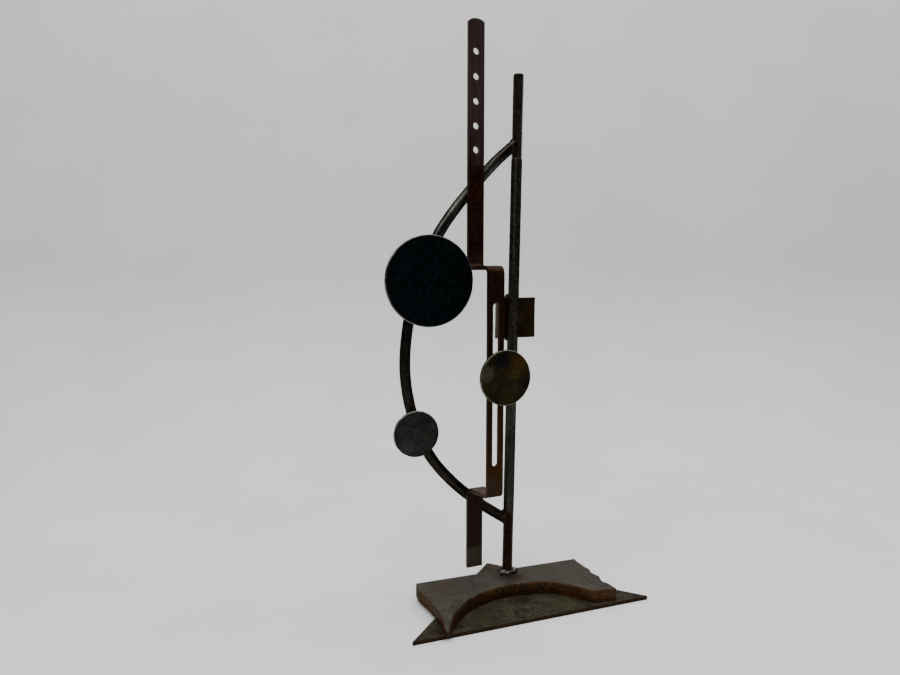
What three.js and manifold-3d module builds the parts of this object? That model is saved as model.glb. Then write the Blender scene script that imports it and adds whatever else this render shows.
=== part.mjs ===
// Welded steel desk sculpture: a triangular foot, an arched plate on it, a leaning
// stud, a bowed rod, a joggled slotted bar and three discs held on by magnets.
// Millimetres, +Z up, the front of the sculpture faces -Y, the stud stands on the Z axis.
import * as THREE from 'three';
import Module from 'manifold-3d';
import { mergeVertices } from 'three/addons/utils/BufferGeometryUtils.js';

const wasm = await Module();
wasm.setup();

// ---- driving dimensions ----
const GAP = 0.3;                 // daylight between touching pieces
const BASE_T = 3.2;              // bottom plate, 1/8 in
const BASE_FRONT_Y = -64.7;      // front edge of the right-angled triangle
const BASE_HALF = 107.75;        // half of the 215.5 mm hypotenuse
const BASE_CX = -1.65;
const ARCH_T = 10.0;             // arched plate
const ARCH_Z = BASE_T + GAP;
const ARCH_TOP = ARCH_Z + ARCH_T;
const STUD_R = 4.7625;           // 3/8 in threaded stud
const STUD_TOP = [6.6, 0, 451];
const STUD_FOOT_Z = ARCH_TOP + GAP;
const BOW_R = 4.7;
const BAR_W = 14.3;              // flat bar
const BAR_T = 3.175;
const BAR_YAW = THREE.MathUtils.degToRad(4);
const BAR_BACK = [-35.35, -5.65];  // centre of the back face of the upper length
const BAR_JOG = 37.5;            // how far the slotted length stands forward
const BAR_TOP_Z = 488.6;
const LEDGE_HI = [287.8, 288.2];   // strip mid-height of the upper ledge, back and front
const LEDGE_LO = [97.4, 102.6];    // the lower ledge droops to the back
const BAR_END_Z = 27.3;
const BEND_R = 5.0;              // bend radius at the strip's middle
const HOLE_R = 2.85;
const HOLES_Z = [463.2, 443.3, 423.7, 404.1, 384.8];
const SLOT_W = 5.6;
const SLOT_Z = [127.6, 260.2];
const TAB = { x: [-10.5, 27.7], z: [226.3, 262.3], t: 3.2 };
const DISC_T = 3.2;
const LARGE = { r: 37.4, mr: 12.5, mt: 9.4, x: -78.3, z: 277.4 };
const SMALL = { r: 19.5, mr: 6.0, mt: 5.0, x: -88.9, z: 151.4 };
const MEDIUM = { r: 22.3, mr: 6.0, mt: 5.0, dx: 4.6, z: 201.4 };

// ---- helpers ----
function toManifold(geo, matrix) {
  let g = geo.clone();
  g.deleteAttribute('normal');
  if (g.attributes.uv) g.deleteAttribute('uv');
  if (matrix) g.applyMatrix4(matrix);
  g = mergeVertices(g, 1e-4);
  const idx = g.index.array, pos = g.attributes.position.array;
  const tri = [];
  for (let i = 0; i < idx.length; i += 3)
    if (idx[i] !== idx[i + 1] && idx[i + 1] !== idx[i + 2] && idx[i] !== idx[i + 2])
      tri.push(idx[i], idx[i + 1], idx[i + 2]);
  return new wasm.Manifold(new wasm.Mesh({ numProp: 3, vertProperties: new Float32Array(pos), triVerts: new Uint32Array(tri) }));
}
function fromManifold(m) {
  const mesh = m.getMesh();
  const g = new THREE.BufferGeometry();
  const p = new Float32Array(mesh.numVert * 3);
  for (let i = 0; i < mesh.numVert; i++)
    for (let k = 0; k < 3; k++) p[3 * i + k] = mesh.vertProperties[i * mesh.numProp + k];
  g.setAttribute('position', new THREE.BufferAttribute(p, 3));
  g.setIndex(new THREE.BufferAttribute(new Uint32Array(mesh.triVerts), 1));
  const flat = g.toNonIndexed();
  flat.computeVertexNormals();
  return flat;
}
const T = (x, y, z) => new THREE.Matrix4().makeTranslation(x, y, z);
const chain = (...ms) => ms.reduce((a, m) => a.multiply(m), new THREE.Matrix4());
function cylBetween(a, b, r, seg = 24) {
  const A = new THREE.Vector3(...a), B = new THREE.Vector3(...b), d = B.clone().sub(A);
  const g = new THREE.CylinderGeometry(r, r, d.length(), seg);
  const q = new THREE.Quaternion().setFromUnitVectors(new THREE.Vector3(0, 1, 0), d.clone().normalize());
  const mid = A.clone().add(B).multiplyScalar(0.5);
  return toManifold(g, new THREE.Matrix4().compose(mid, q, new THREE.Vector3(1, 1, 1)));
}
function blob(c, s, yaw = 0, seg = [14, 10]) {
  const g = new THREE.SphereGeometry(1, seg[0], seg[1]);
  const q = new THREE.Quaternion().setFromAxisAngle(new THREE.Vector3(0, 1, 0), yaw);
  return toManifold(g, new THREE.Matrix4().compose(new THREE.Vector3(...c), q, new THREE.Vector3(...s)));
}
function plate(points, z, t) {
  const s = new THREE.Shape(points.map(p => new THREE.Vector2(p[0], p[1])));
  return new THREE.ExtrudeGeometry(s, { depth: t, bevelEnabled: false }).translate(0, 0, z);
}
function roundedPoly(pts, r, n = 4) {
  const out = [];
  for (let i = 0; i < pts.length; i++) {
    const p = new THREE.Vector2(...pts[i]);
    const a = new THREE.Vector2(...pts[(i + pts.length - 1) % pts.length]).sub(p).normalize();
    const b = new THREE.Vector2(...pts[(i + 1) % pts.length]).sub(p).normalize();
    const p0 = p.clone().addScaledVector(a, r), p1 = p.clone().addScaledVector(b, r);
    for (let k = 0; k <= n; k++) {
      const t = k / n;
      out.push([(1 - t) ** 2 * p0.x + 2 * t * (1 - t) * p.x + t * t * p1.x,
                (1 - t) ** 2 * p0.y + 2 * t * (1 - t) * p.y + t * t * p1.y]);
    }
  }
  return out;
}
const root = new THREE.Group();
function add(name, geo, color, rough, metal) {
  const m = new THREE.Mesh(geo, new THREE.MeshStandardMaterial({ color, roughness: rough, metalness: metal }));
  m.name = name;
  root.add(m);
  return m;
}

// ---- bottom plate: right-angled triangle with 6 in legs ----
const baseOutline = roundedPoly([
  [BASE_CX - BASE_HALF, BASE_FRONT_Y], [BASE_CX + BASE_HALF, BASE_FRONT_Y],
  [BASE_CX, BASE_FRONT_Y + BASE_HALF]], 2.2, 4);
add('base_plate', plate(baseOutline, 0, BASE_T), 0x3a302b, 0.75, 0.6);

// ---- arched plate: torch-cut offcut with a round bite in its front edge ----
const archOutline = [
  [-84.9, 5.8], [-87.6, -2.0], [-87.4, -8.0], [-83.9, -25.0], [-82.4, -38.0], [-82.2, -57.0], [-82.7, -64.5], [-81.6, -69.0],
  [-79.4, -67.6], [-74.6, -61.6], [-68.8, -53.2], [-62.4, -47.0], [-55.2, -40.6], [-49.6, -36.8], [-41.0, -32.7],
  [-33.8, -30.0], [-27.0, -28.0], [-19.8, -26.4], [-12.0, -25.9], [-4.0, -26.0], [2.0, -26.6], [9.8, -27.6],
  [17.4, -29.0], [24.3, -31.2], [30.4, -34.6], [36.1, -39.6], [41.6, -44.9], [46.6, -50.2], [50.4, -55.0],
  [54.4, -59.4], [58.5, -60.6], [75.2, -61.8], [75.6, -53.5], [73.0, -45.0], [75.0, -36.0], [72.6, -26.5],
  [73.6, -20.5], [72.0, -10.0], [71.2, 2.6]];
// the thin front tip is melted down towards its point
const tipCut = new THREE.BoxGeometry(24, 30, 8).translate(0, 0, 4)
  .applyMatrix4(new THREE.Matrix4().makeRotationX(THREE.MathUtils.degToRad(27)))
  .translate(-81, -57.5, ARCH_TOP).translate(0, -15 * Math.cos(0.471), -15 * Math.sin(0.471));
add('arched_plate', fromManifold(toManifold(plate(archOutline, ARCH_Z, ARCH_T)).subtract(toManifold(tipCut))), 0x4a3d36, 0.8, 0.5);

// ---- leaning stud ----
const studA = [0, 0, STUD_FOOT_Z];
const studDir = new THREE.Vector3(...STUD_TOP).sub(new THREE.Vector3(...studA)).normalize();
const studAt = z => { const t = (z - studA[2]) / studDir.z; return [studDir.x * t, 0, z]; };
// the foot is cut square to the plate
const below = toManifold(new THREE.BoxGeometry(60, 60, 40), T(0, 0, STUD_FOOT_Z - 20));
const stud = cylBetween(studAt(STUD_FOOT_Z - 2), STUD_TOP, STUD_R, 32).subtract(below);
add('mast_stud', fromManifold(stud), 0x3c3a3a, 0.6, 0.8);
const studCut = cylBetween(studAt(-5), studAt(470), STUD_R + GAP, 28);

// ---- bowed rod ----
const BOW_PTS = [[3.6, 393.0], [-12.7, 379.0], [-32.5, 358.3], [-51.2, 336.2], [-63.6, 318.8], [-76.5, 293.5],
  [-86.4, 265.0], [-92.6, 237.0], [-95.0, 206.0], [-91.9, 177.6], [-83.4, 148.0], [-70.9, 124.6], [-54.6, 104.9],
  [-39.5, 90.8], [-24.6, 78.8], [-3.2, 64.1]];
const bowCurve = new THREE.CatmullRomCurve3(BOW_PTS.map(p => new THREE.Vector3(p[0], 0, p[1])), false, 'centripetal');
const circle = (r, n) => { const s = new THREE.Shape(); for (let i = 0; i < n; i++) { const a = 2 * Math.PI * i / n; const x = r * Math.cos(a), y = r * Math.sin(a); i ? s.lineTo(x, y) : s.moveTo(x, y); } s.closePath(); return s; };
const bowSolid = toManifold(new THREE.ExtrudeGeometry(circle(BOW_R, 18), { steps: 60, extrudePath: bowCurve, bevelEnabled: false }));
const bow = bowSolid.subtract(studCut);
add('bow_rod', fromManifold(bow), 0x2b2523, 0.55, 0.8);
const bowCut = toManifold(new THREE.ExtrudeGeometry(circle(BOW_R + GAP, 18), { steps: 60, extrudePath: bowCurve, bevelEnabled: false }));

// ---- joggled flat bar: one strip, top - ledge - slotted length - ledge - tail ----
// profile in (n, z): n is distance forward of the back face
function stripProfile() {
  const h = BAR_T / 2;
  const way = [[h, BAR_TOP_Z], [h, LEDGE_HI[0]], [h + BAR_JOG, LEDGE_HI[1]], [h + BAR_JOG, LEDGE_LO[1]], [h, LEDGE_LO[0]], [h, BAR_END_Z]]
    .map(p => new THREE.Vector2(...p));
  // middle line with each corner bent to BEND_R; every point carries the way the strip runs there
  const mid = [[way[0], way[1].clone().sub(way[0]).normalize()]];
  for (let i = 1; i < way.length - 1; i++) {
    const a = way[i].clone().sub(way[i - 1]).normalize(), b = way[i + 1].clone().sub(way[i]).normalize();
    const turn = Math.atan2(a.x * b.y - a.y * b.x, a.dot(b)), cut = BEND_R * Math.tan(Math.abs(turn) / 2);
    const side = Math.sign(turn), n = new THREE.Vector2(-a.y, a.x).multiplyScalar(side);
    const c = way[i].clone().addScaledVector(a, -cut).addScaledVector(n, BEND_R);
    for (let k = 0; k <= 6; k++) {
      const t = turn * k / 6, d = a.clone().rotateAround(new THREE.Vector2(), t);
      const out = new THREE.Vector2(-d.y, d.x).multiplyScalar(-side * BEND_R);
      mid.push([c.clone().add(out), d]);
    }
  }
  const last = way.length - 1;
  mid.push([way[last], way[last].clone().sub(way[last - 1]).normalize()]);
  const side = s => mid.map(([p, d]) => [p.x - d.y * h * s, p.y + d.x * h * s]);
  return [...side(1), ...side(-1).reverse()];
}
const barFrame = new THREE.Matrix4().makeBasis(
  new THREE.Vector3(Math.cos(BAR_YAW), Math.sin(BAR_YAW), 0),      // width
  new THREE.Vector3(Math.sin(BAR_YAW), -Math.cos(BAR_YAW), 0).negate(), // backward
  new THREE.Vector3(0, 0, 1)).setPosition(BAR_BACK[0], BAR_BACK[1], 0);
const barN = new THREE.Vector3(Math.sin(BAR_YAW), -Math.cos(BAR_YAW), 0);
{
  const s = new THREE.Shape(stripProfile().map(p => new THREE.Vector2(p[0], p[1])));
  const g = new THREE.ExtrudeGeometry(s, { depth: BAR_W, bevelEnabled: false, curveSegments: 4 });
  // shape x = forward, shape y = up, depth = along the width
  const m = new THREE.Matrix4().makeBasis(new THREE.Vector3(0, -1, 0), new THREE.Vector3(0, 0, 1), new THREE.Vector3(-1, 0, 0))
    .setPosition(BAR_W / 2, 0, 0);
  let strip = toManifold(g, m);
  const thru = (shape, from, depth) => toManifold(new THREE.ExtrudeGeometry(shape, { depth, bevelEnabled: false, curveSegments: 10 }),
    new THREE.Matrix4().makeBasis(new THREE.Vector3(1, 0, 0), new THREE.Vector3(0, 0, 1), new THREE.Vector3(0, -1, 0)).setPosition(0, -from, 0));
  for (const z of HOLES_Z) { const h = circle(HOLE_R, 20); strip = strip.subtract(thru(new THREE.Shape(h.getPoints(1).map(p => new THREE.Vector2(p.x, p.y + z))), -3, 10)); }
  const slot = new THREE.Shape(), r = SLOT_W / 2;
  slot.absarc(0, SLOT_Z[1] - r, r, 0, Math.PI, false);
  slot.absarc(0, SLOT_Z[0] + r, r, Math.PI, 2 * Math.PI, false);
  slot.closePath();
  strip = strip.subtract(thru(slot, BAR_JOG - 4, 14));
  // arched top end
  const keep = new THREE.Shape();
  keep.moveTo(-BAR_W, 0); keep.lineTo(BAR_W, 0); keep.lineTo(BAR_W, 480);
  keep.lineTo(BAR_W / 2, 485.6); keep.quadraticCurveTo(BAR_W / 2 - 1.0, BAR_TOP_Z - 0.3, 0, BAR_TOP_Z - 0.1);
  keep.quadraticCurveTo(-BAR_W / 2 + 1.0, BAR_TOP_Z - 0.3, -BAR_W / 2, 485.6); keep.lineTo(-BAR_W, 480); keep.closePath();
  strip = strip.intersect(thru(keep, -20, 90));
  strip = strip.transform(barFrame.toArray());
  add('offset_bar', fromManifold(strip), 0x4a2a20, 0.8, 0.5);
  root.userData.bar = strip;
}
const barSolid = root.userData.bar;
delete root.userData.bar;

// ---- back tab welded behind the stud ----
{
  const zc = (TAB.z[0] + TAB.z[1]) / 2;
  const y0 = STUD_R + GAP;
  const pts = roundedPoly([[TAB.x[0], TAB.z[0]], [TAB.x[1], TAB.z[0]], [TAB.x[1], TAB.z[1]], [TAB.x[0], TAB.z[1]]], 0.8, 2);
  const g = new THREE.ExtrudeGeometry(new THREE.Shape(pts.map(p => new THREE.Vector2(p[0], p[1]))), { depth: TAB.t, bevelEnabled: false });
  g.applyMatrix4(new THREE.Matrix4().makeBasis(new THREE.Vector3(1, 0, 0), new THREE.Vector3(0, 0, 1), new THREE.Vector3(0, -1, 0)).setPosition(0, y0 + TAB.t, 0));
  add('back_tab', fromManifold(toManifold(g)), 0x6a5630, 0.8, 0.4);
}
const tabCut = toManifold(new THREE.BoxGeometry(TAB.x[1] - TAB.x[0] + 2 * GAP, TAB.t + 2 * GAP, TAB.z[1] - TAB.z[0] + 2 * GAP),
  T((TAB.x[0] + TAB.x[1]) / 2, STUD_R + GAP + TAB.t / 2, (TAB.z[0] + TAB.z[1]) / 2));

// ---- magnets and discs ----
function discAt(x, yFront, z, r, t, seg, yaw = 0) {
  // axis along the local -Y direction turned by yaw; yFront is the front face centre
  const n = new THREE.Vector3(Math.sin(yaw), -Math.cos(yaw), 0);
  const a = new THREE.Vector3(x, yFront, z), b = a.clone().addScaledVector(n, -t);
  const bev = Math.min(0.5, t / 6);
  const g = new THREE.LatheGeometry([new THREE.Vector2(0, -t), new THREE.Vector2(r, -t), new THREE.Vector2(r, -bev), new THREE.Vector2(r - bev, 0), new THREE.Vector2(0, 0)], seg);
  const q = new THREE.Quaternion().setFromUnitVectors(new THREE.Vector3(0, 1, 0), n);
  return toManifold(g, new THREE.Matrix4().compose(a, q, new THREE.Vector3(1, 1, 1)));
}
const bowFront = -(BOW_R + GAP);
add('large_magnet', fromManifold(discAt(LARGE.x, bowFront - LARGE.mt, LARGE.z, LARGE.mr, LARGE.mt, 32)), 0x2a2a2c, 0.5, 0.3);
add('large_disc', fromManifold(discAt(LARGE.x, bowFront - LARGE.mt - GAP - DISC_T, LARGE.z, LARGE.r, DISC_T, 64)), 0x14181b, 0.45, 0.7);
add('small_magnet', fromManifold(discAt(SMALL.x, bowFront - SMALL.mt, SMALL.z, SMALL.mr, SMALL.mt, 28)), 0x9a9a9c, 0.35, 0.9);
add('small_disc', fromManifold(discAt(SMALL.x, bowFront - SMALL.mt - GAP - DISC_T, SMALL.z, SMALL.r, DISC_T, 48)), 0x45464a, 0.5, 0.8);
{
  const frontFace = BAR_T + BAR_JOG + GAP;
  const base = new THREE.Vector3(BAR_BACK[0], BAR_BACK[1], MEDIUM.z)
    .addScaledVector(new THREE.Vector3(Math.cos(BAR_YAW), Math.sin(BAR_YAW), 0), MEDIUM.dx);
  const at = d => base.clone().addScaledVector(barN, frontFace + d);
  const mf = at(MEDIUM.mt), df = at(MEDIUM.mt + GAP + DISC_T);
  add('medium_magnet', fromManifold(discAt(mf.x, mf.y, mf.z, MEDIUM.mr, MEDIUM.mt, 28, BAR_YAW)), 0x9a9a9c, 0.35, 0.9);
  add('medium_disc', fromManifold(discAt(df.x, df.y, df.z, MEDIUM.r, DISC_T, 52, BAR_YAW)), 0x4b3f2a, 0.7, 0.6);
}

// ---- weld beads, each clear of the pieces it joins ----
const grow = (m, cuts) => cuts.reduce((a, c) => a.subtract(c), m);
const biggest = m => m.decompose().sort((a, b) => b.volume() - a.volume())[0];
const addWeld = (name, m) => add(name, fromManifold(biggest(m)), 0x51392c, 0.85, 0.5);
const barCut = [[0, 0, 0], [GAP, 0, 0], [-GAP, 0, 0], [0, GAP, 0], [0, -GAP, 0], [0, 0, GAP], [0, 0, -GAP]]
  .map(d => barSolid.translate(d));   // the strip grown by the gap
// foot collar
{
  const floor = toManifold(new THREE.BoxGeometry(60, 60, 40), T(0, 0, ARCH_TOP + GAP - 20));
  const c = blob([0, 0, ARCH_TOP + 0.6], [9.6, 8.8, 6.4], 0, [20, 12]).subtract(floor).subtract(studCut);
  addWeld('weld_stud_foot', c);
}
{
  const s = studAt(390.4);
  addWeld('weld_bow_top', grow(blob([s[0] - 5.6, 0, 390.0], [6.2, 6.6, 7.4], -0.7, [18, 12]), [studCut, bowCut]));
  const b = studAt(65.6);
  addWeld('weld_bow_bottom', grow(blob([b[0] - 5.6, 0, 66.0], [6.2, 6.6, 7.0], 0.6, [18, 12]), [studCut, bowCut]));
}
addWeld('weld_bar_upper', grow(blob([-31.5, -5.4, 354.0], [4.6, 5.2, 6.4], -0.7), [bowCut, ...barCut]));
addWeld('weld_bar_lower', grow(blob([-31.6, -5.4, 89.0], [4.6, 5.2, 5.4], 0.7), [bowCut, ...barCut]));
addWeld('weld_tab_upper', grow(blob([3.2, 4.6, 262.7], [6.4, 3.8, 3.0]), [studCut, tabCut]));
addWeld('weld_tab_lower', grow(blob([2.8, 4.6, 225.9], [6.0, 3.6, 2.8]), [studCut, tabCut]));
// beads between the two plates: behind the arched plate, and under its overhangs along the triangle's legs
{
  const top = toManifold(new THREE.BoxGeometry(300, 300, 40), T(0, 0, BASE_T + GAP - 20));
  const archCut = toManifold(plate(archOutline, ARCH_Z - GAP, ARCH_T + 2 * GAP));
  const around = [[0, 0], [GAP, 0], [-GAP, 0], [0, GAP], [0, -GAP]];
  const grownArch = around.map(d => archCut.translate([d[0], d[1], 0]));
  addWeld('weld_base_back', grow(blob([6.0, 6.0, BASE_T + GAP], [16.0, 4.4, 4.2]), [top, ...grownArch]));
  const baseCut = toManifold(plate(baseOutline, -1, BASE_T + 2));
  const grownBase = around.map(d => baseCut.translate([d[0] * 1.4, d[1] * 1.4, 0]));
  const roof = toManifold(new THREE.BoxGeometry(300, 300, 40), T(0, 0, BASE_T + 20));
  const desk = toManifold(new THREE.BoxGeometry(300, 300, 40), T(0, 0, 0.6 - 20));
  const under = (name, x, y, turn) => {
    const g = new THREE.SphereGeometry(1, 16, 10);
    const q = new THREE.Quaternion().setFromAxisAngle(new THREE.Vector3(0, 0, 1), turn);
    addWeld(name, grow(toManifold(g, new THREE.Matrix4().compose(new THREE.Vector3(x, y, BASE_T - 0.2), q, new THREE.Vector3(11, 3.2, 2.6))), [...grownBase, roof, desk]));
  };
  under('weld_base_left', BASE_CX - 62, BASE_FRONT_Y + BASE_HALF - 62, Math.PI / 4);
  under('weld_base_right', BASE_CX + 62, BASE_FRONT_Y + BASE_HALF - 62, -Math.PI / 4);
}
export default root;
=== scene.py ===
import bpy, bmesh, math
import numpy as np
from mathutils import Vector, Matrix, noise


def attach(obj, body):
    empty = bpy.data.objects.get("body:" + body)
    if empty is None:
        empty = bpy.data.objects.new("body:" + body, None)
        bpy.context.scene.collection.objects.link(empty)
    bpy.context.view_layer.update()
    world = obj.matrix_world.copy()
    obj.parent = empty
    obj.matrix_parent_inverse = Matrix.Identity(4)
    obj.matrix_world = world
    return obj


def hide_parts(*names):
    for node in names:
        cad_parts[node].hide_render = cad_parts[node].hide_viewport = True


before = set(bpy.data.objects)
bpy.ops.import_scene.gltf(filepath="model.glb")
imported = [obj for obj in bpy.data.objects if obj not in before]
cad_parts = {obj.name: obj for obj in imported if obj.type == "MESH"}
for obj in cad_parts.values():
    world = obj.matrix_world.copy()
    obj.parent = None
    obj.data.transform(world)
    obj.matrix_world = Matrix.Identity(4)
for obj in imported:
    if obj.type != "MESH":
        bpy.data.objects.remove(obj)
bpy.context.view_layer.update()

MM = 0.001

# ------------------------------------------------------------------ dimensions (mm), as in the CAD
BASE_T, GAP = 3.2, 0.3
ARCH_Z, ARCH_TOP = 3.5, 13.5
STUD_R, BOW_R = 4.7625, 4.7
STUD_TOP = Vector((6.6, 0, 451)); STUD_FOOT = Vector((0, 0, 13.8))
STUD_DIR = (STUD_TOP - STUD_FOOT).normalized()
BAR_W, BAR_T, JOG = 14.3, 3.175, 37.5
YAW = math.radians(4)
BAR_O = Vector((-35.35, -5.65, 0))
BAR_U = Vector((math.cos(YAW), math.sin(YAW), 0)); BAR_N = Vector((math.sin(YAW), -math.cos(YAW), 0))
TOP_Z, END_Z, BEND = 488.5, 27.3, 5.0
HI, LO = (287.8, 288.2), (97.4, 102.6)      # mid-height of each ledge, back and front
HOLES = [463.2, 443.3, 423.7, 404.1, 384.8]


def stud_at(z):
    return STUD_FOOT + STUD_DIR * ((z - STUD_FOOT.z) / STUD_DIR.z)


def nz(x, y, z, s=1.0, seed=0.0):
    return noise.noise(Vector((x * s + seed * 17.3, y * s - seed * 5.1, z * s + seed * 3.7)))


# ------------------------------------------------------------------ materials
class Nodes:
    def __init__(self, name):
        self.m = bpy.data.materials.new(name); self.m.use_nodes = True
        self.t = self.m.node_tree
        self.bsdf = self.t.nodes["Principled BSDF"]
        self.co = self.t.nodes.new("ShaderNodeTexCoord").outputs["Object"]

    def n(self, kind, **kw):
        o = self.t.nodes.new("ShaderNode" + kind)
        for k, v in kw.items():
            setattr(o, k, v)
        return o

    def link(self, a, b):
        self.t.links.new(a, b)

    def noise(self, scale, detail=6, rough=0.6, dist=0.0, co=None):
        o = self.n("TexNoise"); o.inputs["Scale"].default_value = scale
        o.inputs["Detail"].default_value = detail; o.inputs["Roughness"].default_value = rough
        o.inputs["Distortion"].default_value = dist
        self.link(co or self.co, o.inputs["Vector"]); return o.outputs[0]

    def stretch(self, s, turn=0.0):
        o = self.n("Mapping"); o.inputs["Scale"].default_value = s; o.inputs["Rotation"].default_value = (0.0, 0.0, turn)
        self.link(self.co, o.inputs["Vector"]); return o.outputs[0]

    def voronoi(self, scale, co=None, feature="F1"):
        o = self.n("TexVoronoi"); o.feature = feature; o.inputs["Scale"].default_value = scale
        self.link(co or self.co, o.inputs["Vector"]); return o.outputs["Distance"]

    def rng(self, v, a, b, c=0.0, d=1.0, smooth=True):
        o = self.n("MapRange"); o.interpolation_type = "SMOOTHSTEP" if smooth else "LINEAR"
        for i, x in zip((1, 2, 3, 4), (a, b, c, d)):
            o.inputs[i].default_value = x
        self.link(v, o.inputs[0]); return o.outputs[0]

    def math(self, op, a, b=None, clamp=False):
        o = self.n("Math", operation=op); o.use_clamp = clamp
        for i, x in enumerate((a, b)):
            if x is None:
                continue
            if isinstance(x, (int, float)):
                o.inputs[i].default_value = x
            else:
                self.link(x, o.inputs[i])
        return o.outputs[0]

    def mix(self, f, a, b, blend="MIX"):
        o = self.n("Mix", data_type="RGBA", blend_type=blend); o.clamp_result = True
        if isinstance(f, (int, float)):
            o.inputs[0].default_value = f
        else:
            self.link(f, o.inputs[0])
        for i, x in ((6, a), (7, b)):
            if isinstance(x, (tuple, list)):
                o.inputs[i].default_value = (*x, 1)
            else:
                self.link(x, o.inputs[i])
        return o.outputs[2]

    def near(self, p, r0, r1, wobble=None, amt=0.006):
        """1 inside r0 of p (mm), 0 beyond r1, with a ragged edge"""
        o = self.n("VectorMath", operation="DISTANCE")
        o.inputs[1].default_value = [c * MM for c in p]
        self.link(self.co, o.inputs[0]); d = o.outputs["Value"]
        if wobble is not None:
            d = self.math("ADD", d, self.math("MULTIPLY", self.math("SUBTRACT", wobble, 0.5), amt * 2))
        return self.rng(d, r1 * MM, r0 * MM)

    def z(self):
        o = self.n("SeparateXYZ"); self.link(self.co, o.inputs[0]); return o.outputs[2]

    def bump(self, parts):
        last = None
        for h, strength, dist in parts:
            o = self.n("Bump"); o.inputs["Strength"].default_value = strength; o.inputs["Distance"].default_value = dist * MM
            self.link(h, o.inputs["Height"])
            if last is not None:
                self.link(last, o.inputs["Normal"])
            last = o.outputs[0]
        self.link(last, self.bsdf.inputs["Normal"])

    def out(self, color, rough, metal):
        for v, k in ((color, "Base Color"), (rough, "Roughness"), (metal, "Metallic")):
            if isinstance(v, (int, float)):
                self.bsdf.inputs[k].default_value = v
            else:
                self.link(v, self.bsdf.inputs[k])
        return self.m


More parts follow.
